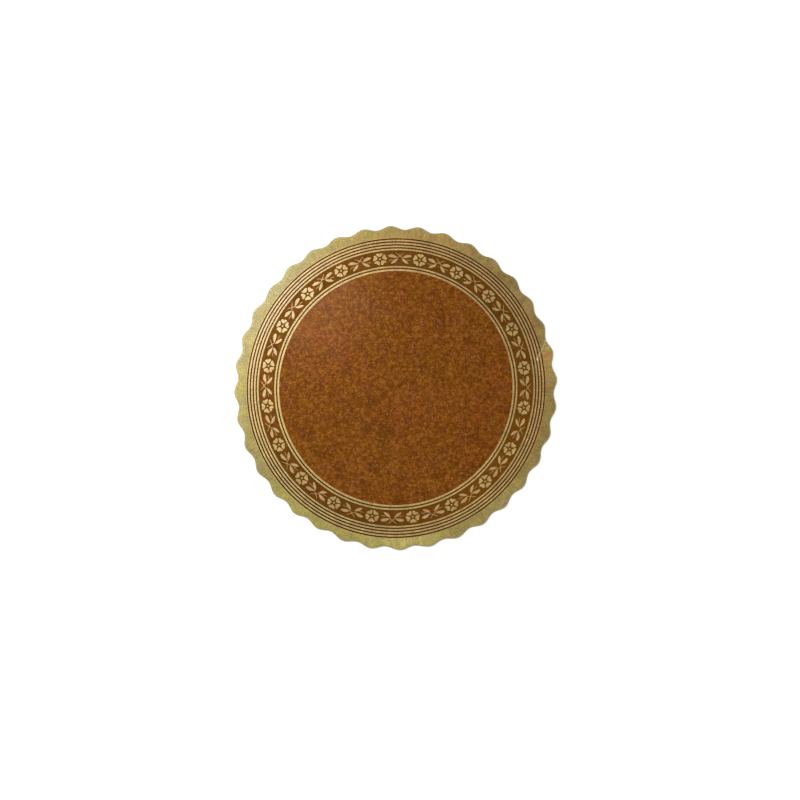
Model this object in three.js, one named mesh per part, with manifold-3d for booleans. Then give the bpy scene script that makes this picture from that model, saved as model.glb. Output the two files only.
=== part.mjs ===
// Round scalloped cake board. One die-cut disc of laminated card with a gold face,
// and the brown print on that face as flat fields: a plain centre, thin rings and
// a band of flowers and leaf sprigs that the gold shows through.
// Millimetres, +Z up, origin at the middle of the underside, print side up.

import * as THREE from 'three';
import { mergeVertices } from 'three/addons/utils/BufferGeometryUtils.js';
import Module from 'manifold-3d';

const wasm = await Module();
wasm.setup();

// Card disc
const crestRadius = 140;        // centre to the crest of a scallop
const boardThickness = 2.4;
const scallopCount = 36;
const scallopDepth = 2.6;       // crest to trough, along the radius
const firstCrestAngle = 2.2;    // degrees from +X
const edgeChamfer = 0.25;       // pressed edge, above and below
const pointsPerScallop = 6;

// Rings and fields of the print, from the rim inwards
const printThickness = 0.1;
const rimWidth = 7.25;          // bare gold between the troughs and the first ring
const lineCount = 4;
const lineWidth = 1.25;         // brown
const lineGap = 1.35;           // gold
const bandWidth = 13.85;
const centreGap = 1.6;          // gold ring round the plain centre
const ringSides = 64;

// Flowers
const flowerCount = 20;
const firstFlowerAngle = 7.8;   // degrees from +X
const petalCount = 5;
const flowerMargin = 1.45;      // brown between a petal's end and the band's edge
const petalStart = 2.15;        // flower centre to a petal's point
const petalNotch = 0.55;        // depth of the dip in a petal's end
const petalGap = 0.9;           // brown between neighbouring petals
const petalWidest = 0.8;        // share of its reach where a petal is widest
const lobeSpread = 0.62;        // tops of its two lobes, as a share of that half width
const dotRadius = 1.05;
const dotSides = 6;

// Leaf sprigs, mirrored on both sides of each midpoint between two flowers
const forkOffset = 2.4;         // midpoint to the fork of two leaves
const forkHeight = 0.5;         // fork above the middle of the band
const leafTipGap = 1.5;         // brown between a flower and the tip of an upper leaf
const upperTipMargin = 4.3;     // upper tip to the outer edge of the band
const upperLeafWidth = 3.2;
const upperLeafBow = 0.5;
const lowerTipSetback = 1.6;    // how far a lower tip falls short of an upper one
const lowerTipMargin = 2.4;     // lower tip to the inner edge of the band
const lowerLeafWidth = 2.5;
const lowerLeafBow = -1.0;
const leafWidest = 0.35;        // share of its length where a leaf is widest
const leafShoulder = 0.72;      // share where it starts to run to its tip
const shoulderWidth = 0.8;      // share of the full width there
const stemWidth = 0.8;
const stemReach = 4.4;          // how far a stem runs past the midpoint
const stemMargin = 1.5;         // stem end to the outer edge of the band

const mergeDistance = 1e-4;     // vertices closer than this are one

// Radii that follow from the sizes above
const troughRadius = crestRadius - scallopDepth;
const firstLineRadius = troughRadius - rimWidth;
const linePitch = lineWidth + lineGap;
const bandOuterRadius = firstLineRadius - lineCount * linePitch;
const bandInnerRadius = bandOuterRadius - bandWidth;
const innerLineRadius = bandInnerRadius - lineGap;
const centreRadius = innerLineRadius - lineWidth - centreGap;
const bandMidRadius = (bandOuterRadius + bandInnerRadius) / 2;
const bandHalf = bandWidth / 2;
const flowerRadius = bandHalf - flowerMargin;
const halfPitch = Math.PI * bandMidRadius / flowerCount;

const goldFoil = { color: 0xb0965a, roughness: 0.38, metalness: 0.75 };
const brownPrint = { color: 0x744716, roughness: 0.5, metalness: 0.15 };

const radians = THREE.MathUtils.degToRad;
const polar = (radius, angle) => new THREE.Vector2(radius * Math.cos(angle), radius * Math.sin(angle));

function circle(radius, sides) {
  return Array.from({ length: sides }, (_, i) => polar(radius, 2 * Math.PI * i / sides));
}

// Cosine scallops, close to a pure wave round the disc
function scallopedOutline() {
  const total = scallopCount * pointsPerScallop;
  return Array.from({ length: total }, (_, i) => {
    const turn = 2 * Math.PI * i / total;
    const dip = scallopDepth * (1 - Math.cos(scallopCount * turn)) / 2;
    return polar(crestRadius - dip, radians(firstCrestAngle) + turn);
  });
}

function named(name, geometry, finish) {
  const mesh = new THREE.Mesh(geometry, new THREE.MeshStandardMaterial(finish));
  mesh.name = name;
  return mesh;
}

function board() {
  const geometry = new THREE.ExtrudeGeometry(new THREE.Shape(scallopedOutline()), {
    depth: boardThickness - 2 * edgeChamfer,
    bevelEnabled: true,
    bevelThickness: edgeChamfer,
    bevelSize: edgeChamfer,
    bevelOffset: -edgeChamfer,
    bevelSegments: 1,
  });
  geometry.translate(0, 0, edgeChamfer);
  return named('board', geometry, goldFoil);
}

// A flat field of print that lies on the board, with an optional round hole
function field(outerRadius, innerRadius) {
  const shape = new THREE.Shape(circle(outerRadius, ringSides));
  if (innerRadius) shape.holes.push(new THREE.Path(circle(innerRadius, ringSides)));
  const geometry = new THREE.ExtrudeGeometry(shape, { depth: printThickness, bevelEnabled: false });
  geometry.translate(0, 0, boardThickness);
  return geometry;
}

// A point of the band: along it and outwards, from a place on its middle circle
const onBand = (angle, along, out) => polar(bandMidRadius + out, angle + along / bandMidRadius);

// Heart-shaped petals, the first one pointing at the rim
function petalOutline(flowerAngle, petalAngle) {
  const halfSector = Math.PI / petalCount;
  const widest = flowerRadius * petalWidest;
  const halfWidth = widest * Math.tan(halfSector) - petalGap / 2 / Math.cos(halfSector);
  const outline = [
    [0, petalStart],
    [halfWidth, widest],
    [halfWidth * lobeSpread, flowerRadius],
    [0, flowerRadius - petalNotch],
    [-halfWidth * lobeSpread, flowerRadius],
    [-halfWidth, widest],
  ];
  const turned = new THREE.Vector2();
  const centre = new THREE.Vector2();
  return outline.map(([across, out]) => {
    turned.set(across, out).rotateAround(centre, petalAngle);
    return onBand(flowerAngle, turned.x, turned.y);
  });
}

function dotOutline(flowerAngle) {
  return circle(dotRadius, dotSides).map(({ x, y }) => onBand(flowerAngle, x, y));
}

// A pointed leaf from its base to its tip, bowed to the left of that line by its bow
function leafOutline(midAngle, side, base, tip, width, bow) {
  const line = new THREE.Vector2().subVectors(tip, base);
  const left = new THREE.Vector2(-line.y, line.x).normalize();
  const edge = (share, offset) => {
    const lift = bow * Math.sin(Math.PI * share) + offset;
    const point = base.clone().addScaledVector(line, share).addScaledVector(left, lift);
    return onBand(midAngle, side * point.x, point.y);
  };
  const half = width / 2;
  const shoulder = half * shoulderWidth;
  return [
    edge(0, 0),
    edge(leafWidest, -half),
    edge(leafShoulder, -shoulder),
    edge(1, 0),
    edge(leafShoulder, shoulder),
    edge(leafWidest, half),
  ];
}

// Both leaves and the stem of the sprig on one side of a midpoint
function sprigOutlines(midAngle, side) {
  const fork = new THREE.Vector2(forkOffset, forkHeight);
  const tipReach = halfPitch - flowerRadius - leafTipGap;
  const upperTip = new THREE.Vector2(tipReach, bandHalf - upperTipMargin);
  const lowerTip = new THREE.Vector2(tipReach - lowerTipSetback, lowerTipMargin - bandHalf);
  const stemEnd = new THREE.Vector2(-stemReach, bandHalf - stemMargin);
  const stemWay = new THREE.Vector2().subVectors(stemEnd, fork).normalize();
  const stemStart = fork.clone().addScaledVector(stemWay, -stemWidth);
  const stemSide = new THREE.Vector2(-stemWay.y, stemWay.x).multiplyScalar(stemWidth / 2);
  const stem = [[stemStart, 1], [stemEnd, 1], [stemEnd, -1], [stemStart, -1]].map(([end, way]) => {
    const point = end.clone().addScaledVector(stemSide, way);
    return onBand(midAngle, side * point.x, point.y);
  });
  return [
    leafOutline(midAngle, side, fork, upperTip, upperLeafWidth, upperLeafBow),
    leafOutline(midAngle, side, fork, lowerTip, lowerLeafWidth, lowerLeafBow),
    stem,
  ];
}

function toSolid(geometry) {
  const bare = new THREE.BufferGeometry();
  bare.setAttribute('position', geometry.getAttribute('position'));
  if (geometry.index) bare.setIndex(geometry.index);
  const merged = mergeVertices(bare, mergeDistance);
  return new wasm.Manifold(new wasm.Mesh({
    numProp: 3,
    vertProperties: merged.getAttribute('position').array,
    triVerts: new Uint32Array(merged.index.array),
  }));
}

function toGeometry(solid) {
  const { vertProperties, triVerts } = solid.getMesh();
  const geometry = new THREE.BufferGeometry();
  geometry.setAttribute('position', new THREE.BufferAttribute(vertProperties, 3));
  geometry.setIndex(new THREE.BufferAttribute(triVerts, 1));
  const flat = geometry.toNonIndexed();
  flat.computeVertexNormals();
  return flat;
}

// A prism of an outline that passes right through the print
function punch(outline) {
  const points = THREE.ShapeUtils.area(outline) > 0 ? outline : outline.slice().reverse();
  const depth = 3 * printThickness;
  const geometry = new THREE.ExtrudeGeometry(new THREE.Shape(points), { depth, bevelEnabled: false });
  geometry.translate(0, 0, boardThickness - printThickness);
  return toSolid(geometry);
}

function floralBand() {
  const outlines = [];
  for (let i = 0; i < flowerCount; i++) {
    const flowerAngle = radians(firstFlowerAngle) + 2 * Math.PI * i / flowerCount;
    const midAngle = flowerAngle + Math.PI / flowerCount;
    for (let k = 0; k < petalCount; k++) {
      outlines.push(petalOutline(flowerAngle, 2 * Math.PI * k / petalCount));
    }
    outlines.push(dotOutline(flowerAngle));
    outlines.push(...sprigOutlines(midAngle, 1), ...sprigOutlines(midAngle, -1));
  }
  const plain = toSolid(field(bandOuterRadius, bandInnerRadius));
  const band = plain.subtract(wasm.Manifold.union(outlines.map(punch)));
  return named('floral_band', toGeometry(band), brownPrint);
}

const cakeBoard = new THREE.Group();
cakeBoard.add(board());
for (let i = 0; i < lineCount; i++) {
  const radius = firstLineRadius - i * linePitch;
  cakeBoard.add(named(`outer_line_${i + 1}`, field(radius, radius - lineWidth), brownPrint));
}
cakeBoard.add(floralBand());
cakeBoard.add(named('inner_line', field(innerLineRadius, innerLineRadius - lineWidth), brownPrint));
cakeBoard.add(named('centre_print', field(centreRadius), brownPrint));

export default cakeBoard;
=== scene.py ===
import math

import bpy
from mathutils import Matrix, Vector, noise
from mathutils.geometry import delaunay_2d_cdt


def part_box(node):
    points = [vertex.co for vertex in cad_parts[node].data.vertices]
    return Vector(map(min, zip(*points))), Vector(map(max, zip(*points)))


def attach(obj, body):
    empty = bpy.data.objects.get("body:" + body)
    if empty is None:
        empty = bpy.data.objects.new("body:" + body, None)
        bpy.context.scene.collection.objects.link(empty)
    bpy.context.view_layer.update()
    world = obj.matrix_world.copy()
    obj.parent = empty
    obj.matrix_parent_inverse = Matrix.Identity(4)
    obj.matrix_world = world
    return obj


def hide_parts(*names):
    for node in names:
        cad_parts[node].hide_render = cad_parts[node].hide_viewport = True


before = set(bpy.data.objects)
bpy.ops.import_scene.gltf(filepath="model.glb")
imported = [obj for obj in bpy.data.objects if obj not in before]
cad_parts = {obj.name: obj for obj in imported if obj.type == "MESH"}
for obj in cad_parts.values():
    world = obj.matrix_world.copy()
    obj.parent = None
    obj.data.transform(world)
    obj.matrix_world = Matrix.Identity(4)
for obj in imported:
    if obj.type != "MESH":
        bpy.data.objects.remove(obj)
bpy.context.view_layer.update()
mm = 0.001

# Lengths are in millimetres where no note says metres, and become metres when a mesh is made


def radiiOf(node):
    # smallest and largest distance of a node's corners from the middle of the board
    reach = [math.hypot(v.co.x, v.co.y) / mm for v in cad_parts[node].data.vertices]
    return min(reach), max(reach)


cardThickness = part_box("board")[1].z / mm
crestRadius = radiiOf("board")[1]
outerLines = ["outer_line_1", "outer_line_2", "outer_line_3", "outer_line_4"]
firstLineRadius = radiiOf(outerLines[0])[1]
bandInner, bandOuter = radiiOf("floral_band")
columns = 1080                           # steps round the disc, shared by the card and the print on it
angles = [2 * math.pi * i / columns for i in range(columns)]


def polar(radius, angle):
    return radius * math.cos(angle), radius * math.sin(angle)


def knotted(knots, degrees):
    # smooth closed curve through (degrees, value) pairs
    degrees = (degrees - knots[0][0]) % 360 + knots[0][0]
    for (start, low), (end, high) in zip(knots, knots[1:] + [(knots[0][0] + 360, knots[0][1])]):
        if degrees <= end:
            share = (degrees - start) / (end - start)
            return low + (high - low) * share * share * (3 - 2 * share)


def wander(angle, seed, fineness, amount):
    # small unevenness round the disc, which closes on itself
    return noise.noise(Vector((math.cos(angle), math.sin(angle), seed)) * fineness) * amount


# Bent corner of the rim: how far the card stands up past the fold

crease = {
    "rimEnd": Vector((131.0, 40.8)),     # where the fold meets the edge
    "innerEnd": Vector((122.6, 23.6)),   # where it dies out among the rings
    "slope": 0.055,
    "softness": 0.55,
    "flatBefore": -6.0,                  # on this side of the fold the card is flat
    "fade": 17.0,                        # how far past its inner end the bend goes
    "raggedScale": 700,                  # the worn line along the fold wanders this finely
    "ragged": 0.9,                       # and this far
    "endSoft": 3.0,
    "stressed": (0.85, 0.72, 0.5, 1),
}


def creaseLift(x, y):
    start, end = crease["rimEnd"], crease["innerEnd"]
    along = (end - start).normalized()
    place = Vector((x, y)) - start
    beyond = place.dot(Vector((-along.y, along.x)))
    if beyond < crease["flatBefore"]:
        return 0.0
    past = place.dot(along) - (end - start).length
    share = min(max(past / crease["fade"], 0.0), 1.0)
    keep = 1 - share * share * (3 - 2 * share)
    soft = crease["softness"]
    return crease["slope"] * keep * soft * math.log1p(math.exp(beyond / soft))


# Card disc: gold face, rounded lip, cut edge with its plies, and plain paper back

card = {
    "scallops": 36,
    "scallopDepth": 3.1,
    "scallopFade": 9.0,                  # how far in from the edge the scallops still show
    "firstCrest": 2.2,                   # degrees
    # how far the die cut wanders: degrees round the disc, then degrees ahead or millimetres out
    "ahead": [(0, 0.5), (20, 0.34), (40, 0.08), (70, -0.12), (100, -0.22), (120, -0.27), (145, -0.55),
              (180, -0.72), (220, -1.0), (243, -1.3), (262, -0.9), (275, -0.3), (284, 0.5), (297, 0.85),
              (320, 0.4), (345, 0.35)],
    "outwards": [(2, 0.25), (22, -0.15), (42, 0.05), (62, 0.57), (82, 1.08), (150, 1.43), (200, 1.0),
                 (222, 0.23), (242, -0.5), (262, 0.75), (300, 1.0), (342, 0.6)],
    "flatCrest": 142.4,                  # degrees, the clipped scallop at the upper left
    "flatWidth": 3,
    "flatAmount": 0.9,
    "tear": (0.4, 9, 0.22),              # seed, fineness and amount of the slow unevenness
    "nick": (3.1, 120, 0.045),           # and of the fine one
    "lipRadius": 0.5,
    "lipSteps": 5,
    "pressed": 0.015,                    # how much lower the face is beside the lip
    "pressedWidth": 1.0,
    "burrRadius": 0.16,
    "burrSteps": 3,
    "backInset": 1.2,
    "plies": 4,
    "plySteps": 4,
    "plySwell": 0.035,
    "faceRows": [0.9, 1.8, 3.2, 5.0, 7.2, 9.4, 11.8, 14.4, 17.2, 20.4, 26, 36, 52, 72, 94, 116, 132],
}
foilSlot, edgeSlot, backSlot = 0, 1, 2


def edgeRadius(angle):
    # outline of the die-cut edge at an angle in radians
    degrees = math.degrees(angle) % 360
    turn = math.radians(degrees - card["firstCrest"] - knotted(card["ahead"], degrees))
    wave = (1 - math.cos(card["scallops"] * turn)) / 2
    radius = crestRadius - card["scallopDepth"] * wave + knotted(card["outwards"], degrees)
    radius -= card["flatAmount"] * math.exp(-((degrees - card["flatCrest"]) / card["flatWidth"]) ** 2)
    return radius + wander(angle, *card["tear"]) + wander(angle, *card["nick"])


def makeMesh(name, points, faces, materials, smooth=True):
    # faces are (corners, material slot) pairs
    mesh = bpy.data.meshes.new(name)
    mesh.from_pydata([(x * mm, y * mm, z * mm) for x, y, z in points], [], [f for f, _ in faces])
    for material in materials:
        mesh.materials.append(material)
    for polygon, (_, slot) in zip(mesh.polygons, faces):
        polygon.material_index = slot
        polygon.use_smooth = smooth
    piece = bpy.data.objects.new(name, mesh)
    bpy.context.scene.collection.objects.link(piece)
    return piece


def stripFaces(low, high, count, slot):
    # faces between two rings of points that start at low and high
    faces = []
    for i in range(count):
        j = (i + 1) % count
        faces.append(((low + i, low + j, high + j, high + i), slot))
    return faces


def loftRings(rings, slots, bottomSlot, topSlot):
    # rings joined one to the next and closed at both ends; slots names each strip's material
    count = len(rings[0])
    points = [p for ring in rings for p in ring]
    faces = []
    for row, slot in enumerate(slots):
        faces += stripFaces(row * count, (row + 1) * count, count, slot)
    for ring, slot, flip in ((0, bottomSlot, True), (len(rings) - 1, topSlot, False)):
        x = sum(p[0] for p in rings[ring]) / count
        y = sum(p[1] for p in rings[ring]) / count
        points.append((x, y, rings[ring][0][2]))
        for i in range(count):
            near, far = ring * count + i, ring * count + (i + 1) % count
            pair = (far, near) if flip else (near, far)
            faces.append(((*pair, len(points) - 1), slot))
    return points, faces


def cardProfile():
    # (inset from the cut edge, height, material slot of the strip that ends here), underside first
    lip, burr, pressed = card["lipRadius"], card["burrRadius"], card["pressed"]
    backRows = [card["backInset"]] + card["faceRows"][2:]
    rows = [(inset, 0.0, backSlot) for inset in reversed(backRows)]
    for step in range(card["burrSteps"] + 1):
        turn = math.pi / 2 * step / card["burrSteps"]
        slot = edgeSlot if step else backSlot
        rows.append((burr * (1 - math.sin(turn)), burr * (1 - math.cos(turn)), slot))
    wallTop = cardThickness - lip
    steps = card["plies"] * card["plySteps"]
    for step in range(1, steps):
        height = burr + (wallTop - burr) * step / steps
        swell = card["plySwell"] * (1 - abs(math.sin(math.pi * card["plies"] * step / steps)))
        rows.append((swell, height, edgeSlot))
    for step in range(card["lipSteps"] + 1):
        turn = math.pi / 2 * step / card["lipSteps"]
        rows.append((lip * (1 - math.cos(turn)), wallTop + lip * math.sin(turn) - pressed, edgeSlot))
    for inset in card["faceRows"]:
        drop = pressed if inset < card["pressedWidth"] else 0
        rows.append((inset, cardThickness - drop, foilSlot))
    return rows


def makeCard(face, edge, back):
    edgeRadii = [edgeRadius(angle) for angle in angles]
    plainRadius = crestRadius - card["scallopDepth"] / 2
    rings, slots = [], []
    for inset, height, slot in cardProfile():
        # scallops fade out inwards, so that the inner rows are plain circles
        share = min(inset / card["scallopFade"], 1.0)
        ring = []
        for angle, radius in zip(angles, edgeRadii):
            x, y = polar(radius * (1 - share) + plainRadius * share - inset, angle)
            ring.append((x, y, height + creaseLift(x, y)))
        rings.append(ring)
        slots.append(slot)
    points, faces = loftRings(rings, slots[1:], backSlot, foilSlot)
    return makeMesh("card_disc", points, faces, [face, edge, back])


# Print: thin fields of brown ink on the gold face

ink = {
    "height": 0.05,
    "wobbleScale": 34,
    "wobble": 0.035,                     # how far the edge of the ink wanders
    "edgeRound": 0.02,
    "seedStep": 2.0,                     # from one ring to the next
    "bandSeeds": (7.0, 9.0),             # outer and inner edge of the border
    "centreSeed": 21.0,
    "centreRings": [1.0, 0.85, 0.6, 0.35, 0.12],
}


def inkEdge(radius, angle, seed):
    return radius + wander(angle, seed, ink["wobbleScale"], ink["wobble"])


def makeRing(name, material, innerRadius, outerRadius, seed):
    # up the outside, over the top and down the inside, closed underneath
    top = cardThickness + ink["height"]
    soft = ink["edgeRound"]
    section = [
        (outerRadius, seed + 1, 0.0, cardThickness),
        (outerRadius, seed + 1, -soft, top),
        (innerRadius, seed, soft, top),
        (innerRadius, seed, 0.0, cardThickness),
    ]
    points, faces = [], []
    for row, (radius, edgeSeed, inset, height) in enumerate(section):
        for angle in angles:
            x, y = polar(inkEdge(radius, angle, edgeSeed) + inset, angle)
            points.append((x, y, height + creaseLift(x, y)))
        faces += stripFaces(row * columns, (row + 1) % len(section) * columns, columns, 0)
    return makeMesh(name, points, faces, [material], smooth=False)


def makeCentre(name, material, radius):
    top = cardThickness + ink["height"]
    edge = [inkEdge(radius, angle, ink["centreSeed"]) for angle in angles]
    rings = [[(*polar(reach, angle), cardThickness) for reach, angle in zip(edge, angles)]]
    for share in ink["centreRings"]:
        rings.append([(*polar(reach * share, angle), top) for reach, angle in zip(edge, angles)])
    points, faces = loftRings(rings, [0] * (len(rings) - 1), 0, 0)
    return makeMesh(name, points, faces, [material], smooth=False)


# Border of flowers and leaf sprigs: gold shapes left open in a brown band

border = {
    "flowers": 20,
    "firstFlower": 7.8,                  # degrees
    # degrees round the disc, then how many degrees the print has wandered ahead
    "ahead": [(8, 0.72), (44, 0.62), (62, 0.35), (80, -0.35), (98, -0.65), (152, -0.57), (170, 0.2),
              (188, 0.0), (250, 0.1), (332, 0.0), (350, 1.2)],
    "petals": 5,
    # half of a petal from its point to its notch: across, and out from the flower's middle
    "petalHalf": [(0, 1.95), (0.6, 2.3), (1.4, 2.95), (2.15, 3.65), (2.65, 4.4), (2.5, 5.1),
                  (1.75, 5.55), (0.7, 5.45), (0, 5.15)],
    "petalSteps": 4,
    "flowerShape": (1.05, 0.92),         # stretched along the band, flatter across it
    "dotRadius": 0.8,
    "dotSides": 20,
    # half a sprig: places are along the band from the midpoint between two flowers, and out from
    # its middle circle; belly is where a leaf is widest, as a share of its length
    "upperLeaf": {"foot": (2.35, 0.45), "tip": (10.2, 2.45), "width": 2.65, "bow": 0.45,
                  "fullness": 0.62, "belly": 0.58, "steps": 14},
    "lowerLeaf": {"foot": (1.7, -0.3), "tip": (8.0, -4.65), "width": 2.35, "bow": -0.25,
                  "fullness": 0.72, "belly": 0.5, "steps": 14},
    "bud": {"foot": (5.4, -1.35), "tip": (10.2, -1.85), "width": 0.42, "bow": 0.15,
            "fullness": 0.5, "belly": 0.45, "steps": 8},
    "stem": {"tip": (-3.9, 5.1), "width": 0.5, "bow": 0.12,
             "fullness": 0.3, "belly": 0.45, "steps": 10},
    "stemOverlap": 0.9,                  # how far the stem runs into the foot of the upper leaf
    "weld": 1e-4,
}


def curvePoint(p, q, r, s, t):
    # one coordinate of a smooth curve past p, q, r and s, a share t of the way from q to r
    bend = 2 * p - 5 * q + 4 * r - s
    twist = 3 * q - p - 3 * r + s
    return 0.5 * (2 * q + (r - p) * t + bend * t * t + twist * t ** 3)


def smoothLine(points, steps):
    # a rounded line through the points, each stretch in a few steps
    ends = [points[0], *points, points[-1]]
    line = []
    for four in zip(ends, ends[1:], ends[2:], ends[3:]):
        for step in range(steps):
            line.append(tuple(curvePoint(*axis, step / steps) for axis in zip(*four)))
    line.append(points[-1])
    return line


def petalLoop(turn):
    half = smoothLine(border["petalHalf"], border["petalSteps"])
    loop = half + [(-x, y) for x, y in reversed(half[1:-1])]
    c, s = math.cos(turn), math.sin(turn)
    return [(x * c - y * s, x * s + y * c) for x, y in loop]


def leafLoop(foot, tip, width, bow, fullness, belly, steps):
    foot, tip = Vector(foot), Vector(tip)
    skew = math.log(0.5) / math.log(belly)
    line = tip - foot
    left = Vector((-line.y, line.x)).normalized()

    def edge(step, side):
        share = step / steps
        half = width / 2 * math.sin(math.pi * share ** skew) ** fullness if 0 < step < steps else 0.0
        spot = foot + line * share + left * (bow * math.sin(math.pi * share) + side * half)
        return spot.x, spot.y

    return [edge(step, 1) for step in range(steps + 1)] + [edge(step, -1) for step in range(steps - 1, 0, -1)]


def sprigLoops():
    fork, stemTip = Vector(border["upperLeaf"]["foot"]), Vector(border["stem"]["tip"])
    stemFoot = fork - (stemTip - fork).normalized() * border["stemOverlap"]
    loops = [leafLoop(**border[part]) for part in ("upperLeaf", "lowerLeaf", "bud")]
    return loops + [leafLoop(foot=stemFoot, **border["stem"])]


def borderLoops():
    midRadius = (bandInner + bandOuter) / 2
    count, petals = border["flowers"], border["petals"]
    wide, tall = border["flowerShape"]

    def onBand(degrees, along, out):
        return polar(midRadius + out, math.radians(degrees) + along / midRadius)

    flower = [petalLoop(2 * math.pi * k / petals) for k in range(petals)]
    sides = border["dotSides"]
    flower.append([polar(border["dotRadius"], 2 * math.pi * side / sides) for side in range(sides)])
    loops = []
    for k in range(count):
        even = border["firstFlower"] + 360 * k / count
        middle = even + knotted(border["ahead"], even)
        between = even + 180 / count
        between += knotted(border["ahead"], between)
        for loop in flower:
            loops.append([onBand(middle, x * wide, y * tall) for x, y in loop])
        for loop in sprigLoops():
            for side in (1, -1):
                loops.append([onBand(between, side * x, y) for x, y in loop])
    return loops


def anticlockwise(loop):
    area = sum(a[0] * b[1] - b[0] * a[1] for a, b in zip(loop, loop[1:] + loop[:1]))
    return loop if area > 0 else loop[::-1]


def makeBand(name, material):
    loops = []
    for radius, seed in zip((bandOuter, bandInner), ink["bandSeeds"]):
        loops.append([polar(inkEdge(radius, angle, seed), angle) for angle in angles])
    loops += [anticlockwise(loop) for loop in borderLoops()]
    flat, outlines = [], []
    for loop in loops:
        outlines.append(list(range(len(flat), len(flat) + len(loop))))
        flat += [Vector(p) for p in loop]
    spots, _, triangles, _, _, owners = delaunay_2d_cdt(flat, [], outlines, 1, border["weld"])
    # brown is what lies inside the rim loop and in no other
    brown = [t for t, owner in zip(triangles, owners) if set(owner) == {0}]
    used = sorted({v for t in brown for v in t})
    index = {v: i for i, v in enumerate(used)}
    low, high = cardThickness, cardThickness + ink["height"]
    points = [(spots[v].x, spots[v].y, height) for height in (high, low) for v in used]
    below = len(used)
    faces, openEdges = [], {}
    for t in brown:
        a, b, c = (index[v] for v in t)
        ab, ac = spots[used[b]] - spots[used[a]], spots[used[c]] - spots[used[a]]
        if ab.x * ac.y - ab.y * ac.x < 0:
            b, c = c, b
        faces.append(((a, b, c), 0))
        faces.append(((a + below, c + below, b + below), 0))
        for start, end in ((a, b), (b, c), (c, a)):
            if (end, start) in openEdges:
                del openEdges[(end, start)]
            else:
                openEdges[(start, end)] = True
    for start, end in openEdges:
        faces.append(((end, start, start + below, end + below), 0))
    return makeMesh(name, points, faces, [material], smooth=False)


# Node helpers, most of which put nodes in a tree and give back the socket that comes out

noiseRange = (0.3, 0.7)                  # where most values of a noise lie


def newGroup(name, inputs, outputs):
    group = bpy.data.node_groups.new(name, "ShaderNodeTree")
    for label, kind, value in inputs:
        socket = group.interface.new_socket(label, in_out="INPUT", socket_type=kind)
        socket.default_value = value
    for label, kind in outputs:
        group.interface.new_socket(label, in_out="OUTPUT", socket_type=kind)
    return group, group.nodes.new("NodeGroupInput"), group.nodes.new("NodeGroupOutput")


def addNode(tree, kind, settings=None, **values):
    node = tree.nodes.new(kind)
    for key, value in (settings or {}).items():
        setattr(node, key, value)
    for key, value in values.items():
        node.inputs[key].default_value = value
    return node


def feed(tree, socket, value):
    if isinstance(value, bpy.types.NodeSocket):
        tree.links.new(value, socket)
    else:
        socket.default_value = value


def noiseAt(tree, vector, scale, detail=2.0, roughness=0.5):
    node = addNode(tree, "ShaderNodeTexNoise", Scale=scale, Detail=detail, Roughness=roughness)
    tree.links.new(vector, node.inputs["Vector"])
    return node.outputs["Fac"]


def mathNode(tree, operation, *values, clamp=False):
    node = addNode(tree, "ShaderNodeMath", {"operation": operation, "use_clamp": clamp})
    for socket, value in zip(node.inputs, values):
        feed(tree, socket, value)
    return node.outputs[0]


def times(tree, a, b):
    return mathNode(tree, "MULTIPLY", a, b)


def plus(tree, a, b):
    return mathNode(tree, "ADD", a, b)


def vectorNode(tree, operation, *values):
    node = addNode(tree, "ShaderNodeVectorMath", {"operation": operation})
    for socket, value in zip(node.inputs, values):
        feed(tree, socket, value)
    return node.outputs["Value" if operation in ("DOT_PRODUCT", "DISTANCE", "LENGTH") else "Vector"]


def mapRange(tree, value, low, high, toLow=0.0, toHigh=1.0, smooth=False):
    node = addNode(tree, "ShaderNodeMapRange", {"interpolation_type": "SMOOTHSTEP" if smooth else "LINEAR"})
    tree.links.new(value, node.inputs["Value"])
    for label, number in (("From Min", low), ("From Max", high), ("To Min", toLow), ("To Max", toHigh)):
        node.inputs[label].default_value = number
    return node.outputs["Result"]


def swingOf(tree, value, span, amount):
    # 1 less the amount at the start of the span, 1 and the amount at its end
    return mapRange(tree, value, *span, 1 - amount, 1 + amount)


def mixColour(tree, share, a, b, mode="MIX"):
    node = addNode(tree, "ShaderNodeMix", {"data_type": "RGBA", "blend_type": mode})
    for label, value in (("Factor", share), ("A", a), ("B", b)):
        feed(tree, node.inputs[label], value)
    return node.outputs["Result"]


def evenColour(tree, value):
    # the grey that darkens or lightens a colour by the value
    node = addNode(tree, "ShaderNodeCombineColor")
    for channel in range(3):
        tree.links.new(value, node.inputs[channel])
    return node.outputs[0]


def splitPlace(tree, place):
    node = addNode(tree, "ShaderNodeSeparateXYZ")
    tree.links.new(place, node.inputs[0])
    return node.outputs["X"], node.outputs["Y"], node.outputs["Z"]


# Brown print: fine grain, soft blotches and a drift of hue

mottle = {
    # scale, detail and roughness of each noise
    "noises": {
        "fine": (760, 2.0, 0.55),
        "coarse": (300, 2.0, 0.5),
        "soft": (62, 3.0, 0.55),
        "wide": (19, 2.0, 0.5),
        "hue": (95, 2.0, 0.55),
    },
    "fineShare": 0.55,                   # the rest of the grain is coarse
    # colour, the noise it follows, where it starts and where it is full, and what weighs it
    "shades": [
        ("Red", "wide", 0.48, 0.66, "Blotch"),
        ("Mauve", "hue", 0.5, 0.68, "Blotch"),
        ("Olive", "hue", 0.48, 0.32, "Blotch"),
        ("Dark", "soft", 0.5, 0.32, "Blotch"),
        ("Dark", "grain", 0.52, 0.34, "Grain"),
        ("Light", "grain", 0.5, 0.68, "Grain"),
    ],
}


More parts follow.
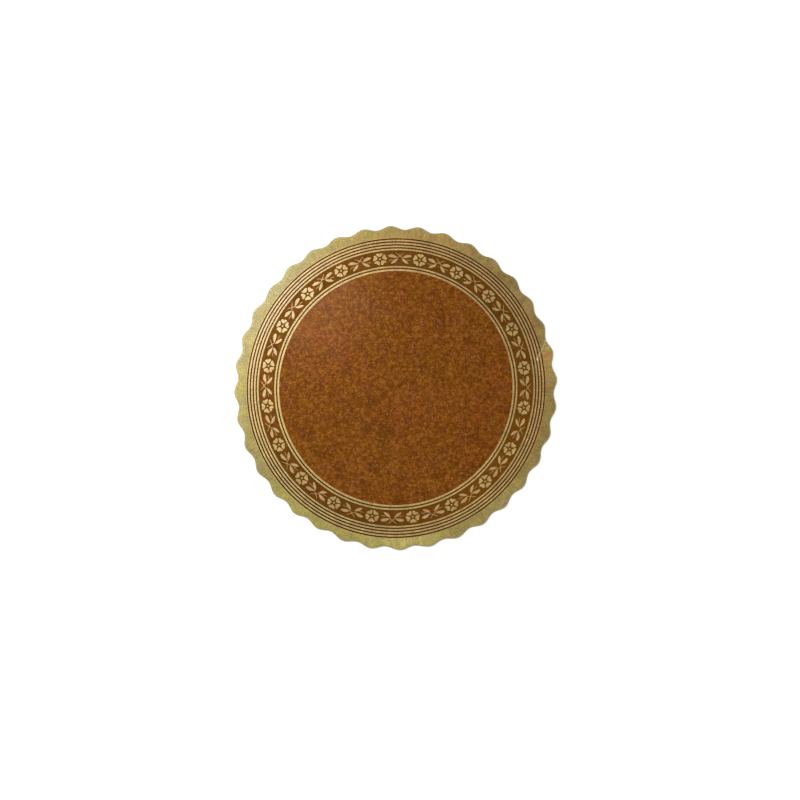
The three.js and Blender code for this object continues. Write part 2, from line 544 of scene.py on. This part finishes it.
def makeMottle():
    group, source, result = newGroup("PrintMottle", [
        ("Vector", "NodeSocketVector", (0, 0, 0)),
        ("Base", "NodeSocketColor", (0.2, 0.07, 0.01, 1)),
        ("Dark", "NodeSocketColor", (0.12, 0.04, 0.006, 1)),
        ("Light", "NodeSocketColor", (0.3, 0.13, 0.03, 1)),
        ("Red", "NodeSocketColor", (0.25, 0.06, 0.015, 1)),
        ("Mauve", "NodeSocketColor", (0.17, 0.05, 0.02, 1)),
        ("Olive", "NodeSocketColor", (0.18, 0.07, 0.005, 1)),
        ("Grain", "NodeSocketFloat", 0.5),
        ("Blotch", "NodeSocketFloat", 0.4),
    ], [("Color", "NodeSocketColor"), ("Height", "NodeSocketFloat")])
    place = source.outputs["Vector"]
    fields = {name: noiseAt(group, place, *numbers) for name, numbers in mottle["noises"].items()}
    fine = times(group, fields["fine"], mottle["fineShare"])
    fields["grain"] = plus(group, fine, times(group, fields["coarse"], 1 - mottle["fineShare"]))
    colour = source.outputs["Base"]
    for shade, field, start, full, weight in mottle["shades"]:
        share = times(group, mapRange(group, fields[field], start, full), source.outputs[weight])
        colour = mixColour(group, share, colour, source.outputs[shade])
    group.links.new(colour, result.inputs["Color"])
    group.links.new(fields["grain"], result.inputs["Height"])
    return group


# Laminate: slow unevenness shared by the bare foil and the print on it

laminate = {
    "slow": (45, 2.0, 0.5),
    "quick": (420, 3.0, 0.6),
}


def makeSurfaceWave():
    group, source, result = newGroup("LaminateWave", [
        ("Vector", "NodeSocketVector", (0, 0, 0)),
        ("Fine", "NodeSocketFloat", 0.25),
    ], [("Height", "NodeSocketFloat")])
    place = source.outputs["Vector"]
    quick = times(group, noiseAt(group, place, *laminate["quick"]), source.outputs["Fine"])
    height = plus(group, noiseAt(group, place, *laminate["slow"]), quick)
    group.links.new(height, result.inputs["Height"])
    return group


def makeCreaseWear():
    # stressed line along the fold: 1 on the line, 0 past its width and past the fold's inner end
    group, source, result = newGroup("CreaseWear", [
        ("Vector", "NodeSocketVector", (0, 0, 0)),
        ("Width", "NodeSocketFloat", 0.0007),
    ], [("Mask", "NodeSocketFloat")])
    start, end = crease["rimEnd"] * mm, crease["innerEnd"] * mm
    along = (end - start).normalized()
    x, y, _ = splitPlace(group, source.outputs["Vector"])
    dx = mathNode(group, "SUBTRACT", x, start.x)
    dy = mathNode(group, "SUBTRACT", y, start.y)
    run = plus(group, times(group, dx, along.x), times(group, dy, along.y))
    across = mathNode(group, "SUBTRACT", times(group, dy, along.x), times(group, dx, along.y))
    ragged = mathNode(group, "SUBTRACT", noiseAt(group, source.outputs["Vector"], crease["raggedScale"]), 0.5)
    across = plus(group, across, times(group, ragged, crease["ragged"] * mm))
    near = mathNode(group, "DIVIDE", mathNode(group, "ABSOLUTE", across), source.outputs["Width"])
    near = mapRange(group, near, 1.0, 0.0, smooth=True)
    length, soft = (end - start).length, crease["endSoft"] * mm
    inside = mapRange(group, run, length + soft, length - soft, smooth=True)
    group.links.new(times(group, near, inside), result.inputs["Mask"])
    return group


# Soft patches: where the light, wear or a stain changes the colour

softEdge = {
    "noise": (130, 3.0, 0.6),
    "ragged": 0.9,
    "full": 0.1,                         # share of the radius inside which the patch is full
}


def makeSoftPatch():
    # ragged round patch: 1 in the middle, 0 past its radius
    group, source, result = newGroup("SoftPatch", [
        ("Vector", "NodeSocketVector", (0, 0, 0)),
        ("Centre", "NodeSocketVector", (0, 0, 0)),
        ("Radius", "NodeSocketFloat", 0.01),
    ], [("Mask", "NodeSocketFloat")])
    away = vectorNode(group, "DISTANCE", source.outputs["Vector"], source.outputs["Centre"])
    share = mathNode(group, "DIVIDE", away, source.outputs["Radius"])
    ragged = mathNode(group, "SUBTRACT", noiseAt(group, source.outputs["Vector"], *softEdge["noise"]), 0.5)
    share = plus(group, share, times(group, ragged, softEdge["ragged"]))
    group.links.new(mapRange(group, share, 1.0, softEdge["full"], smooth=True), result.inputs["Mask"])
    return group


def makeRingShine():
    # pressed rings are lighter towards the light and opposite it, and darker at the sides
    group, source, result = newGroup("RingShine", [
        ("Vector", "NodeSocketVector", (0, 0, 0)),
        ("Way", "NodeSocketVector", (1, 0, 0)),
        ("Amount", "NodeSocketFloat", 0.1),
    ], [("Color", "NodeSocketColor")])
    flat = vectorNode(group, "MULTIPLY", source.outputs["Vector"], (1, 1, 0))
    outward = vectorNode(group, "NORMALIZE", flat)
    facing = vectorNode(group, "DOT_PRODUCT", outward, source.outputs["Way"])
    swing = mathNode(group, "SUBTRACT", times(group, times(group, facing, facing), 2.0), 1.0)
    factor = plus(group, times(group, swing, source.outputs["Amount"]), 1.0)
    group.links.new(evenColour(group, factor), result.inputs["Color"])
    return group


# Bare card: paper fibres and specks

paper = {
    "fibreDetail": 4.0,
    "fibreRoughness": 0.65,
    "fibreTwist": 1.6,
    "fibreRange": (0.36, 0.64),
    "speckNoise": (1500, 1.0),
    "speckRange": (0.69, 0.74),
}


def makeFibre():
    group, source, result = newGroup("PaperFibre", [
        ("Vector", "NodeSocketVector", (0, 0, 0)),
        ("Light", "NodeSocketColor", (0.7, 0.68, 0.62, 1)),
        ("Dark", "NodeSocketColor", (0.4, 0.37, 0.32, 1)),
        ("Scale", "NodeSocketFloat", 900.0),
        ("Specks", "NodeSocketFloat", 0.4),
    ], [("Color", "NodeSocketColor"), ("Height", "NodeSocketFloat")])
    place = source.outputs["Vector"]
    fibre = addNode(group, "ShaderNodeTexNoise", Detail=paper["fibreDetail"],
                    Roughness=paper["fibreRoughness"], Distortion=paper["fibreTwist"])
    group.links.new(place, fibre.inputs["Vector"])
    group.links.new(source.outputs["Scale"], fibre.inputs["Scale"])
    share = mapRange(group, fibre.outputs["Fac"], *paper["fibreRange"])
    colour = mixColour(group, share, source.outputs["Dark"], source.outputs["Light"])
    specks = mapRange(group, noiseAt(group, place, *paper["speckNoise"]), *paper["speckRange"])
    colour = mixColour(group, times(group, specks, source.outputs["Specks"]), colour, source.outputs["Dark"])
    group.links.new(colour, result.inputs["Color"])
    group.links.new(fibre.outputs["Fac"], result.inputs["Height"])
    return group


printMottle = makeMottle()
laminateWave = makeSurfaceWave()
creaseWear = makeCreaseWear()
softPatch = makeSoftPatch()
ringShine = makeRingShine()
paperFibre = makeFibre()
print("node groups:", len(bpy.data.node_groups))


# Materials

lightFrom = 147                          # degrees, the way to the lamp


def newMaterial(name, finish):
    # finish holds what is the same all over the surface, by the shader's own socket names
    material = bpy.data.materials.new(name)
    material.use_nodes = True
    tree = material.node_tree
    tree.nodes.clear()
    shader = addNode(tree, "ShaderNodeBsdfPrincipled", None, **finish)
    output = tree.nodes.new("ShaderNodeOutputMaterial")
    tree.links.new(shader.outputs[0], output.inputs["Surface"])
    place = tree.nodes.new("ShaderNodeTexCoord").outputs["Object"]
    return material, tree, shader, place


def placeGroup(tree, group, place, **values):
    node = tree.nodes.new("ShaderNodeGroup")
    node.node_tree = group
    tree.links.new(place, node.inputs["Vector"])
    for key, value in values.items():
        node.inputs[key].default_value = value
    return node


def bumpFrom(tree, height, strength, distance, normal=None):
    bump = addNode(tree, "ShaderNodeBump", Strength=strength, Distance=distance)
    tree.links.new(height, bump.inputs["Height"])
    if normal is not None:
        tree.links.new(normal, bump.inputs["Normal"])
    return bump.outputs["Normal"]


def distanceFromMiddle(tree, place):
    return vectorNode(tree, "LENGTH", vectorNode(tree, "MULTIPLY", place, (1, 1, 0)))


def directionOf(degrees):
    return math.cos(math.radians(degrees)), math.sin(math.radians(degrees)), 0


def patchMask(tree, place, x, y, radius):
    centre = (x * mm, y * mm, cardThickness * mm)
    return placeGroup(tree, softPatch, place, Centre=centre, Radius=radius * mm).outputs["Mask"]


def addPatch(tree, place, colour, patch, mode="MIX"):
    # a patch is its x, y, radius, colour and strength
    x, y, radius, shade, strength = patch
    return mixColour(tree, times(tree, patchMask(tree, place, x, y, radius), strength), colour, shade, mode)


def addCreaseWear(tree, place, colour, width, share):
    wear = placeGroup(tree, creaseWear, place, Width=width * mm).outputs["Mask"]
    return mixColour(tree, times(tree, wear, share), colour, crease["stressed"])


def addShine(tree, place, colour, amount):
    shine = placeGroup(tree, ringShine, place, Way=directionOf(lightFrom), Amount=amount).outputs["Color"]
    return mixColour(tree, 1.0, colour, shine, "MULTIPLY")


foil = {
    "green": (0.272, 0.222, 0.046, 1),   # the face's tint towards the lower left
    "warm": (0.262, 0.158, 0.030, 1),    # and towards the upper right
    "tintWay": 40,                       # degrees
    "tintReach": 130,
    "paleSide": (-112, 79, 108),         # x, y and radius of the side that reflects the lamp
    # painted reflection of the lamp on that side
    "pale": (0.255, 0.212, 0.080, 1),
    # soft patches: x, y and radius in millimetres, colour, strength; painted light and shade mixed with
    # blotches of the foil's own colour
    "patches": [
        # lighter towards the bottom and lower right, darker at the left and upper right: painted light and
        # shade
        (8, -137, 60, (0.44, 0.365, 0.10, 1), 0.82),
        (92, -100, 56, (0.335, 0.255, 0.074, 1), 0.65),
        (-132, -30, 52, (0.195, 0.155, 0.040, 1), 0.58),
        (115, 70, 45, (0.25, 0.142, 0.030, 1), 0.5),
        (-120, -62, 48, (0.185, 0.145, 0.032, 1), 0.68),
        (92, 100, 52, (0.19, 0.118, 0.024, 1), 0.6),
        (132.2, 27.0, 6.0, (0.36, 0.145, 0.030, 1), 0.75),
        (132.6, 33.6, 3.0, (0.31, 0.29, 0.09, 1), 0.6),
        # painted glint where the fold meets the rim
        (129.9, 40.2, 1.6, (0.55, 0.55, 0.36, 1), 0.75),
        (133.2, 5.7, 3.6, (0.24, 0.20, 0.13, 1), 0.6),
    ],
    # painted glint where the fold dies out among the rings
    "foldEndGlint": (123.0, 24.2, 2.0, (0.75, 0.58, 0.33, 1), 0.8),
    # flecks: noise, where they start and where they are full, colour
    "flecks": [
        ("tint", 0.5, 0.68, (0.25, 0.22, 0.042, 1)),
        ("tint", 0.46, 0.3, (0.31, 0.18, 0.06, 1)),
        ("grey", 0.52, 0.7, (0.225, 0.185, 0.085, 1)),
    ],
    "fleckShare": 0.36,
    # scale, detail and roughness of each noise
    "tint": (150, 3.0, 0.6),
    "grey": (90, 2.0, 0.5),
    "tone": (130, 2.0, 0.5),
    "speckle": (1100, 2.0, 0.6),
    "streak": (620, 3.0, 0.6),
    "streakShape": (0.13, 0.16),         # for each radian round the disc, and each metre outwards
    # how far each darkens and lightens the gold
    "toneSwing": 0.06,
    "speckleSwing": 0.4,
    "speckleRange": (0.25, 0.75),
    "streakSwing": 0.14,
    # gold between the printed lines, and in the border
    "printed": (0.42, 0.288, 0.095, 1),
    "printedWarm": (0.37, 0.228, 0.077, 1),
    # printed gold under the painted reflection of the lamp
    "printedPale": (0.395, 0.288, 0.137, 1),
    "printedStart": (0.9, -0.3),         # out from the first line, where it starts and is full
    "petals": (0.365, 0.238, 0.078, 1),
    # petals under the painted reflection of the lamp
    "petalsPale": (0.41, 0.302, 0.148, 1),
    "petalsStart": (0.1, 0.4),           # in from the border's edges
    "ringShine": 0.14,
    "stressWidth": 0.8,
    "stressShare": 0.3,
    "worn": (0.235, 0.205, 0.115, 1),    # beside the lip
    "wornStart": (0.002, 0.014),         # how far the pressed face has dropped there
    "wornShare": 0.5,
    "finish": {"Metallic": 0.8, "Specular IOR Level": 0.3, "Coat Weight": 0.6, "Coat Roughness": 0.31},
    "roughness": (0.32, 0.42),
    "waveFine": 0.12,
    "waveBump": (0.35, 0.0006),          # strength, and distance in metres
}


def rimGold(tree, place, side, pale):
    colour = mixColour(tree, side, foil["green"], foil["warm"])
    colour = mixColour(tree, pale, colour, foil["pale"])
    # painted light and shade round the rim, with blotches of the foil's own colour
    for patch in foil["patches"]:
        colour = addPatch(tree, place, colour, patch)
    fields = {name: noiseAt(tree, place, *foil[name]) for name in ("tint", "grey")}
    for field, start, full, shade in foil["flecks"]:
        share = times(tree, mapRange(tree, fields[field], start, full), foil["fleckShare"])
        colour = mixColour(tree, share, colour, shade)
    return colour


def printedGold(tree, place, side, pale, reach):
    gold = mixColour(tree, side, foil["printed"], foil["printedWarm"])
    gold = mixColour(tree, pale, gold, foil["printedPale"])
    start, full = foil["petalsStart"]
    belowOuter = mapRange(tree, reach, (bandOuter - start) * mm, (bandOuter - full) * mm)
    aboveInner = mapRange(tree, reach, (bandInner + start) * mm, (bandInner + full) * mm)
    petals = mixColour(tree, pale, foil["petals"], foil["petalsPale"])
    gold = mixColour(tree, times(tree, belowOuter, aboveInner), gold, petals)
    return addShine(tree, place, gold, foil["ringShine"])


def streaksOutwards(tree, place, reach):
    # fine streaks that run towards the rim
    x, y, _ = splitPlace(tree, place)
    angle = mathNode(tree, "ARCTAN2", y, x)
    spread = addNode(tree, "ShaderNodeCombineXYZ")
    for socket, value, size in zip(spread.inputs, (angle, reach), foil["streakShape"]):
        tree.links.new(times(tree, value, size), socket)
    return noiseAt(tree, spread.outputs[0], *foil["streak"])


def goldFoil():
    material, tree, shader, place = newMaterial("gold foil face", foil["finish"])
    reach = distanceFromMiddle(tree, place)
    tintReach = foil["tintReach"] * mm
    side = vectorNode(tree, "DOT_PRODUCT", place, directionOf(foil["tintWay"]))
    side = mapRange(tree, side, -tintReach, tintReach)
    # mask of the painted reflection of the lamp at the upper left
    pale = patchMask(tree, place, *foil["paleSide"])
    start, full = ((firstLineRadius + out) * mm for out in foil["printedStart"])
    printed = mapRange(tree, reach, start, full)
    gold = printedGold(tree, place, side, pale, reach)
    colour = mixColour(tree, printed, rimGold(tree, place, side, pale), gold)

    tone = noiseAt(tree, place, *foil["tone"])
    speckle = noiseAt(tree, place, *foil["speckle"])
    streak = streaksOutwards(tree, place, reach)
    shade = swingOf(tree, tone, noiseRange, foil["toneSwing"])
    shade = times(tree, shade, swingOf(tree, speckle, foil["speckleRange"], foil["speckleSwing"]))
    shade = times(tree, shade, swingOf(tree, streak, noiseRange, foil["streakSwing"]))
    colour = mixColour(tree, 1.0, colour, evenColour(tree, shade), "MULTIPLY")

    # painted glint at the fold's inner end
    colour = addPatch(tree, place, colour, foil["foldEndGlint"])
    colour = addCreaseWear(tree, place, colour, foil["stressWidth"], foil["stressShare"])
    height = splitPlace(tree, place)[2]
    start, full = ((cardThickness - drop) * mm for drop in foil["wornStart"])
    worn = times(tree, mapRange(tree, height, start, full), foil["wornShare"])
    colour = mixColour(tree, worn, colour, foil["worn"])
    tree.links.new(colour, shader.inputs["Base Color"])
    tree.links.new(mapRange(tree, tone, *noiseRange, *foil["roughness"]), shader.inputs["Roughness"])
    wave = placeGroup(tree, laminateWave, place, Fine=foil["waveFine"]).outputs["Height"]
    tree.links.new(bumpFrom(tree, wave, *foil["waveBump"]), shader.inputs["Normal"])
    return material


inkCoat = {
    "finish": {"Metallic": 0.6, "Specular IOR Level": 0.05, "Coat Weight": 0.06, "Coat Roughness": 0.31},
    "roughness": (0.56, 0.44),
    "waveFine": 0.1,
    "waveBump": (0.3, 0.0006),           # strength, and distance in metres
    "grainBump": (0.12, 0.00012),
    "stressWidth": 0.7,
    "stressShare": 0.25,
}

centreInk = {
    "colours": {
        "Base": (0.150, 0.045, 0.0008, 1),
        "Dark": (0.082, 0.022, 0.0004, 1),
        "Light": (0.262, 0.097, 0.0160, 1),
        "Red": (0.178, 0.040, 0.0035, 1),
        "Mauve": (0.140, 0.042, 0.0100, 1),
        "Olive": (0.158, 0.054, 0.0012, 1),
    },
    "grain": 1.0,
    "blotch": 0.65,
    "shine": 0.02,
    "patch": (-75, 80, 85, (0.11, 0.058, 0.037, 1), 0.36),     # painted sheen of the lamp on the print at the upper left
    "patchMode": "ADD",
}

bandInk = {
    "colours": {
        "Base": (0.12, 0.039, 0.0010, 1),
        "Dark": (0.065, 0.020, 0.0008, 1),
        "Light": (0.18, 0.065, 0.008, 1),
        "Red": (0.15, 0.035, 0.004, 1),
        "Mauve": (0.12, 0.033, 0.006, 1),
        "Olive": (0.105, 0.045, 0.0008, 1),
    },
    "grain": 0.7,
    "blotch": 0.5,
    "shine": 0.14,
    "sides": (0.088, 0.040, 0.0004, 1),  # darker ink along both edges and round the flowers
    "sidesWidth": (2.2, 0.4),            # in from an edge, where it starts and is full
    "sidesShare": 0.75,
    "flowersShare": 0.6,
    "flowersFull": 0.9,
}

lineInk = {
    "colours": {
        "Base": (0.062, 0.0215, 0.0003, 1),
        "Dark": (0.042, 0.014, 0.0002, 1),
        "Light": (0.10, 0.036, 0.001, 1),
        "Red": (0.075, 0.022, 0.0006, 1),
        "Mauve": (0.064, 0.021, 0.001, 1),
        "Olive": (0.060, 0.024, 0.0003, 1),
    },
    "grain": 0.4,
    "blotch": 0.3,
    "shine": 0.14,
    # darker towards the lower left
    "patch": (-98, -100, 118, (0.028, 0.009, 0.0002, 1), 0.88),
    "patchMode": "MIX",
    "creased": True,
}


def bandSides(tree, place, recipe):
    reach = distanceFromMiddle(tree, place)
    start, full = recipe["sidesWidth"]
    nearInner = mapRange(tree, reach, (bandInner + start) * mm, (bandInner + full) * mm, smooth=True)
    nearOuter = mapRange(tree, reach, (bandOuter - start) * mm, (bandOuter - full) * mm, smooth=True)
    edges = times(tree, plus(tree, nearInner, nearOuter), recipe["sidesShare"])
    x, y, _ = splitPlace(tree, place)
    angle = mathNode(tree, "SUBTRACT", mathNode(tree, "ARCTAN2", y, x), math.radians(border["firstFlower"]))
    swing = mathNode(tree, "COSINE", times(tree, angle, float(border["flowers"])))
    nearFlower = mapRange(tree, swing, 0.0, recipe["flowersFull"], smooth=True)
    return mathNode(tree, "MAXIMUM", edges, times(tree, nearFlower, recipe["flowersShare"]))


def inkMaterial(name, recipe):
    material, tree, shader, place = newMaterial(name, inkCoat["finish"])
    mottled = placeGroup(tree, printMottle, place, Grain=recipe["grain"], Blotch=recipe["blotch"],
                         **recipe["colours"])
    colour, grain = mottled.outputs["Color"], mottled.outputs["Height"]
    # the centre's patch is a painted sheen of the lamp; the rings' patch makes them darker towards the lower
    # left
    if "patch" in recipe:
        colour = addPatch(tree, place, colour, recipe["patch"], recipe["patchMode"])
    if "sides" in recipe:
        colour = mixColour(tree, bandSides(tree, place, recipe), colour, recipe["sides"])
    if "creased" in recipe:
        colour = addCreaseWear(tree, place, colour, inkCoat["stressWidth"], inkCoat["stressShare"])
    colour = addShine(tree, place, colour, recipe["shine"])
    tree.links.new(colour, shader.inputs["Base Color"])
    tree.links.new(mapRange(tree, grain, *noiseRange, *inkCoat["roughness"]), shader.inputs["Roughness"])
    wave = placeGroup(tree, laminateWave, place, Fine=inkCoat["waveFine"]).outputs["Height"]
    normal = bumpFrom(tree, wave, *inkCoat["waveBump"])
    tree.links.new(bumpFrom(tree, grain, *inkCoat["grainBump"], normal), shader.inputs["Normal"])
    return material


cutSide = {
    "finish": {"Roughness": 0.85, "Specular IOR Level": 0.2},
    "fibre": {"Scale": 1400.0, "Light": (0.58, 0.49, 0.27, 1), "Dark": (0.42, 0.35, 0.18, 1)},
    "fibreBump": (0.6, 0.00015),         # strength, and distance in metres
    "gap": (0.36, 0.29, 0.16, 1),        # between two plies
    "gapShare": 0.45,
    "gapSharpness": 14.0,
    "withoutPlies": 0.58,                # height of the lip and the burr that shows no plies
}

underside = {
    "finish": {"Roughness": 0.8},
    "fibre": {"Scale": 420.0, "Light": (0.74, 0.72, 0.67, 1), "Dark": (0.58, 0.55, 0.49, 1)},
    "fibreBump": (0.3, 0.0001),
}


def cutEdge():
    # side of the card: tan fibres with darker lines between the plies
    material, tree, shader, place = newMaterial("cut card edge", cutSide["finish"])
    fibre = placeGroup(tree, paperFibre, place, **cutSide["fibre"])
    height = splitPlace(tree, place)[2]
    plied = (cardThickness - cutSide["withoutPlies"]) * mm
    layers = times(tree, height, card["plies"] / plied * math.pi)
    gaps = mathNode(tree, "ABSOLUTE", mathNode(tree, "COSINE", layers))
    gaps = times(tree, mathNode(tree, "POWER", gaps, cutSide["gapSharpness"]), cutSide["gapShare"])
    colour = mixColour(tree, gaps, fibre.outputs["Color"], cutSide["gap"])
    tree.links.new(colour, shader.inputs["Base Color"])
    tree.links.new(bumpFrom(tree, fibre.outputs["Height"], *cutSide["fibreBump"]), shader.inputs["Normal"])
    return material


def backPaper():
    material, tree, shader, place = newMaterial("plain paper back", underside["finish"])
    fibre = placeGroup(tree, paperFibre, place, **underside["fibre"])
    tree.links.new(fibre.outputs["Color"], shader.inputs["Base Color"])
    tree.links.new(bumpFrom(tree, fibre.outputs["Height"], *underside["fibreBump"]), shader.inputs["Normal"])
    return material


foilFace = goldFoil()
centreBrown = inkMaterial("brown print of the centre", centreInk)
bandBrown = inkMaterial("brown print of the border", bandInk)
lineBrown = inkMaterial("dark brown print of the rings", lineInk)
print("materials of the face:", [m.name for m in (foilFace, centreBrown, bandBrown, lineBrown)])

pieces = []
cardDisc = makeCard(foilFace, cutEdge(), backPaper())
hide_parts("board")
pieces.append(cardDisc)
print("card disc:", len(cardDisc.data.polygons), "faces")

for number, node in enumerate([*outerLines, "inner_line"]):
    inner, outer = radiiOf(node)
    pieces.append(makeRing("printed_" + node, lineBrown, inner, outer, number * ink["seedStep"]))
    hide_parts(node)
bandPiece = makeBand("printed_border", bandBrown)
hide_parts("floral_band")
centrePiece = makeCentre("printed_centre", centreBrown, radiiOf("centre_print")[1])
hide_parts("centre_print")
pieces += [bandPiece, centrePiece]
print("print:", {p.name: len(p.data.polygons) for p in pieces[1:]})

for piece in pieces:
    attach(piece, "root")


# Studio: white floor, two soft boxes and an even pale surround

studio = {
    # places and sizes in metres, power in watts
    "floorHalf": 4.0,
    "floorDrop": 0.05,                   # millimetres below the board
    "floorGrey": (0.4, 0.4, 0.4, 1),
    "floorGlow": 0.75,
    "surround": 0.52,
    "keyPower": 12.5,
    "keySize": 0.7,
    "keyPlace": (-0.66, 0.37, 1.05),
    "fillPower": 3.0,
    "fillSize": 0.9,
    "fillPlace": (-0.1, -0.9, 1.5),
}


def makeFloor():
    half = studio["floorHalf"] / mm
    drop = -studio["floorDrop"]
    corners = [(-half, -half, drop), (half, -half, drop), (half, half, drop), (-half, half, drop)]
    material = bpy.data.materials.new("white floor")
    material.use_nodes = True
    tree = material.node_tree
    tree.nodes.clear()
    output = tree.nodes.new("ShaderNodeOutputMaterial")
    diffuse = addNode(tree, "ShaderNodeBsdfDiffuse", Color=studio["floorGrey"])
    glow = addNode(tree, "ShaderNodeEmission", Color=(1, 1, 1, 1))
    paths = tree.nodes.new("ShaderNodeLightPath")
    seen = plus(tree, paths.outputs["Is Camera Ray"], paths.outputs["Is Glossy Ray"])
    seen = mathNode(tree, "ADD", seen, paths.outputs["Is Transmission Ray"], clamp=True)
    tree.links.new(times(tree, seen, studio["floorGlow"]), glow.inputs["Strength"])
    both = tree.nodes.new("ShaderNodeAddShader")
    tree.links.new(diffuse.outputs[0], both.inputs[0])
    tree.links.new(glow.outputs[0], both.inputs[1])
    tree.links.new(both.outputs[0], output.inputs["Surface"])
    return makeMesh("floor", corners, [((0, 1, 2, 3), 0)], [material], smooth=False)


def makeSurround():
    world = bpy.data.worlds.new("pale surround")
    world.use_nodes = True
    tree = world.node_tree
    tree.nodes.clear()
    output = tree.nodes.new("ShaderNodeOutputWorld")
    light = addNode(tree, "ShaderNodeBackground", Color=(1, 1, 1, 1), Strength=studio["surround"])
    white = addNode(tree, "ShaderNodeBackground", Color=(1, 1, 1, 1), Strength=1.0)
    paths = tree.nodes.new("ShaderNodeLightPath")
    pick = tree.nodes.new("ShaderNodeMixShader")
    tree.links.new(paths.outputs["Is Camera Ray"], pick.inputs[0])
    tree.links.new(light.outputs[0], pick.inputs[1])
    tree.links.new(white.outputs[0], pick.inputs[2])
    tree.links.new(pick.outputs[0], output.inputs["Surface"])
    bpy.context.scene.world = world


def makeLamp(name, power, size, place):
    # a round soft box that faces the middle of the board
    lamp = bpy.data.lights.new(name, "AREA")
    lamp.energy = power
    lamp.shape = "DISK"
    lamp.size = size
    holder = bpy.data.objects.new(name, lamp)
    holder.location = place
    holder.rotation_euler = (-Vector(place)).to_track_quat("-Z", "Y").to_euler()
    bpy.context.scene.collection.objects.link(holder)


camera = {
    "lens": 200.0,
    "sensor": 36.0,
    "imagePixels": 800,
    "millimetresPerPixel": 0.8652,
    "leanAxis": 56.0,                    # degrees
    "lean": 7.8,
    "discInPhoto": (394.9, 387.2),       # pixel of the disc's middle
    "clip": (0.1, 30),                   # metres
}


def makeCamera():
    pixel = camera["millimetresPerPixel"] * mm
    middle = (camera["imagePixels"] - 1) / 2
    across, down = camera["discInPhoto"]
    target = Vector(((middle - across) * pixel, (down - middle) * pixel, cardThickness * mm))
    distance = camera["imagePixels"] * pixel * camera["lens"] / camera["sensor"]
    turn = Matrix.Rotation(math.radians(camera["lean"]), 3, Vector(directionOf(camera["leanAxis"])))
    view = bpy.data.cameras.new("overhead camera")
    view.lens, view.sensor_width = camera["lens"], camera["sensor"]
    view.clip_start, view.clip_end = camera["clip"]
    holder = bpy.data.objects.new("overhead camera", view)
    holder.matrix_world = Matrix.Translation(target + turn @ Vector((0, 0, distance))) @ turn.to_4x4()
    bpy.context.scene.collection.objects.link(holder)
    bpy.context.scene.camera = holder


floor = makeFloor()
makeSurround()
makeLamp("key soft box", studio["keyPower"], studio["keySize"], studio["keyPlace"])
makeLamp("fill from below", studio["fillPower"], studio["fillSize"], studio["fillPlace"])
makeCamera()
bpy.context.scene.view_settings.view_transform = "Standard"
print("studio ready")
